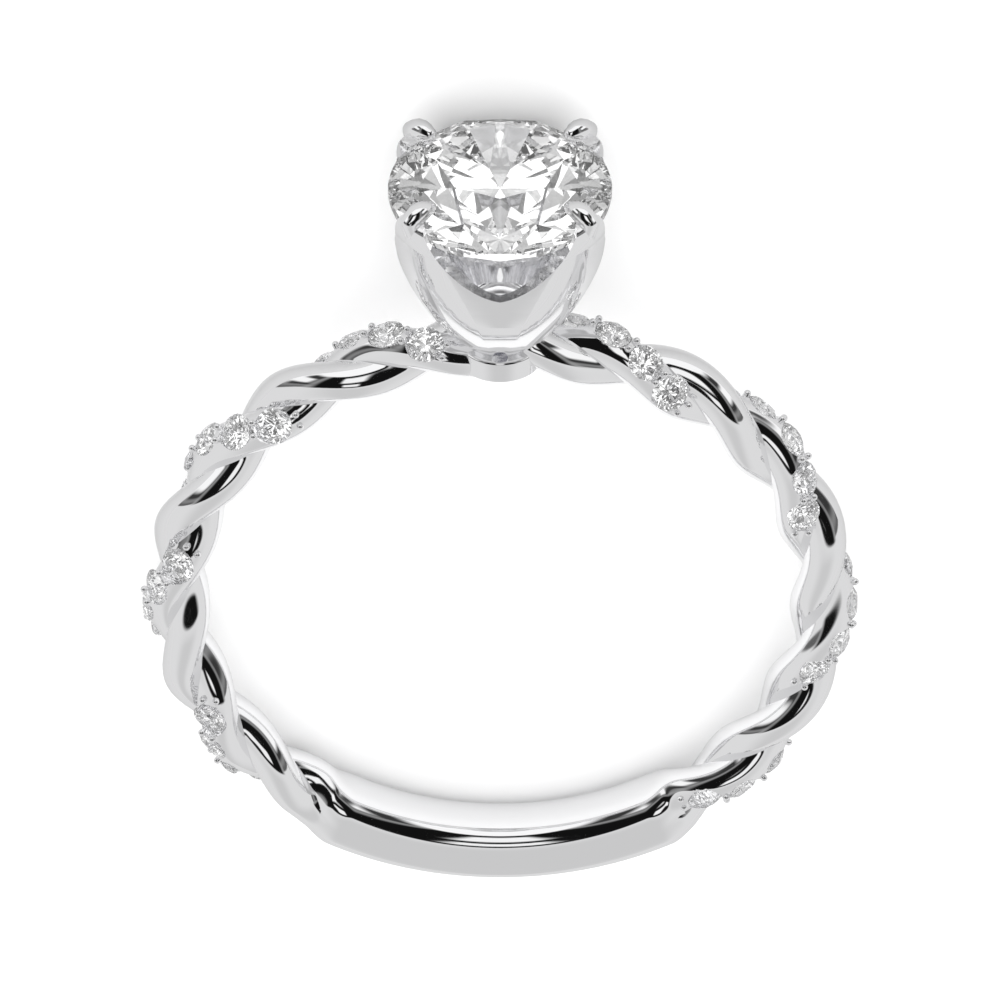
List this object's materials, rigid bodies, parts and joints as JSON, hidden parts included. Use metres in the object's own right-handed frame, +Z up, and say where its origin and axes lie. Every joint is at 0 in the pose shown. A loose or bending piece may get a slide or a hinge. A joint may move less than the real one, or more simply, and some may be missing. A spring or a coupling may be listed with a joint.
{
  "type": "twisted shank ring",
  "caption": "Finger ring with a two-strand twisted shank, one strand polished and one set with small stones, and a four-prong tulip head holding a round brilliant.",
  "frame": {"origin": "centre of the finger hole", "axes": "+Y runs from the finger hole to the head and lies level, +Z points up from the table, out of the side that faces the viewer, and +X runs to the right of that side. The ring lies on its side and leans back by 4.9 degrees about X, so the finger hole's axis leans with it."},
  "size_m": [0.0218, 0.0277, 0.0065],
  "materials": {
    "white_gold": "polished white gold, rhodium plated",
    "diamond": "clear cut stone with flat polished facets"
  },
  "bodies": {
    "root": {"ring_body": "white_gold", "centre_stone": "diamond", "small_stone_01": "diamond", "small_stone_02": "diamond", "small_stone_03": "diamond", "small_stone_04": "diamond", "small_stone_05": "diamond", "small_stone_06": "diamond", "small_stone_07": "diamond", "small_stone_08": "diamond", "small_stone_09": "diamond", "small_stone_10": "diamond", "small_stone_11": "diamond", "small_stone_12": "diamond", "small_stone_13": "diamond", "small_stone_14": "diamond", "small_stone_15": "diamond", "small_stone_16": "diamond", "small_stone_17": "diamond", "small_stone_18": "diamond", "small_stone_19": "diamond", "small_stone_20": "diamond", "small_stone_21": "diamond", "small_stone_22": "diamond", "small_stone_23": "diamond", "small_stone_24": "diamond", "small_stone_25": "diamond", "small_stone_26": "diamond", "small_stone_27": "diamond", "small_stone_28": "diamond", "small_stone_29": "diamond", "small_stone_30": "diamond", "small_stone_31": "diamond", "small_stone_32": "diamond", "small_stone_33": "diamond", "small_stone_34": "diamond", "small_stone_35": "diamond", "small_stone_36": "diamond", "small_stone_37": "diamond", "small_stone_38": "diamond"}
  },
  "joints": []
}
